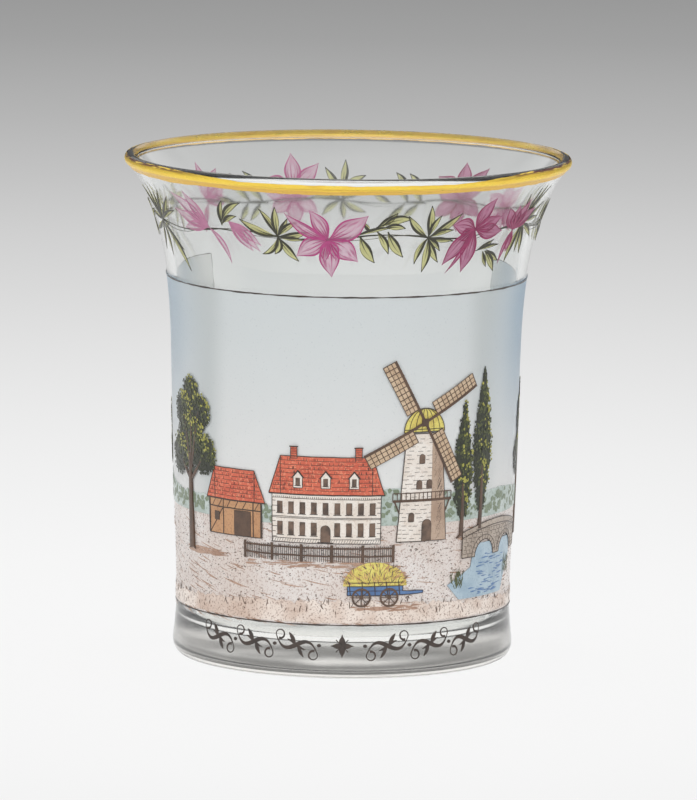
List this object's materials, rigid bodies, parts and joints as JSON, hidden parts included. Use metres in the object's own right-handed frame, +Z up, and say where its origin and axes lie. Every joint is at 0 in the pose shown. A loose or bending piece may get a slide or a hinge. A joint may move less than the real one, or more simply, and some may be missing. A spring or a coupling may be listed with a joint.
{
  "type": "glass beaker",
  "caption": "Flared drinking glass on a thick base, with a gilded lip, a garland of enamelled flowers under it, a painted landscape panel and brush scrolls.",
  "frame": {"origin": "centre of the ring that the glass stands on", "axes": "+Z up along the glass's own axis, -Y towards the middle of the painted panel"},
  "size_m": [0.0868, 0.0868, 0.098],
  "materials": {
    "clear_glass": "blown clear glass, fire polished",
    "gilding": "burnished gold leaf, brushed on and fired",
    "sky_enamel": "fired enamel, soft gloss",
    "earth_enamel": "fired enamel, soft gloss",
    "sepia_enamel": "fired enamel, soft gloss",
    "hill_enamel": "fired enamel, soft gloss",
    "brown_enamel": "fired enamel, soft gloss",
    "cream_enamel": "fired enamel, soft gloss",
    "yellow_enamel": "fired enamel, soft gloss",
    "timber_enamel": "fired enamel, soft gloss",
    "red_enamel": "fired enamel, soft gloss",
    "stone_enamel": "fired enamel, soft gloss",
    "water_enamel": "fired enamel, soft gloss",
    "blue_enamel": "fired enamel, soft gloss",
    "foliage_enamel": "fired enamel, soft gloss",
    "pink_enamel": "fired enamel, soft gloss",
    "leaf_enamel": "fired enamel, soft gloss"
  },
  "bodies": {
    "root": {"barn_roof": "red_enamel", "barn_wall": "brown_enamel", "cart_bed": "blue_enamel", "cart_wheel_front": "timber_enamel", "cart_wheel_rear": "timber_enamel", "earth_enamel": "earth_enamel", "elm_left": "foliage_enamel", "elm_right": "foliage_enamel", "far_hills": "hill_enamel", "farmhouse_roof": "red_enamel", "farmhouse_wall": "cream_enamel", "garland_bud_1": "pink_enamel", "garland_bud_2": "pink_enamel", "garland_side_1": "pink_enamel", "garland_side_2": "pink_enamel", "garland_side_3": "pink_enamel", "garland_spray_1": "leaf_enamel", "garland_spray_2": "leaf_enamel", "garland_spray_3": "leaf_enamel", "garland_spray_4": "leaf_enamel", "garland_spray_5": "leaf_enamel", "garland_star_1": "pink_enamel", "garland_star_2": "pink_enamel", "garland_star_3": "pink_enamel", "garland_star_4": "pink_enamel", "garland_star_5": "pink_enamel", "garland_stem": "leaf_enamel", "garland_whorl_1": "leaf_enamel", "garland_whorl_2": "leaf_enamel", "garland_whorl_3": "leaf_enamel", "garland_whorl_4": "leaf_enamel", "garland_whorl_5": "leaf_enamel", "garland_whorl_6": "leaf_enamel", "gilt_rim": "gilding", "glass_body": "clear_glass", "hay_load": "yellow_enamel", "mill_cap": "yellow_enamel", "mill_sails": "timber_enamel", "mill_tower": "cream_enamel", "near_bank": "brown_enamel", "oak_left": "foliage_enamel", "oak_right": "foliage_enamel", "panel_outline": "sepia_enamel", "poplar_far": "foliage_enamel", "poplar_near": "foliage_enamel", "rail_fence": "timber_enamel", "scroll_left_1": "sepia_enamel", "scroll_left_2": "sepia_enamel", "scroll_left_3": "sepia_enamel", "scroll_middle": "sepia_enamel", "scroll_right_1": "sepia_enamel", "scroll_right_2": "sepia_enamel", "scroll_right_3": "sepia_enamel", "sky_enamel": "sky_enamel", "stone_bridge": "stone_enamel", "stream": "water_enamel"}
  },
  "joints": []
}
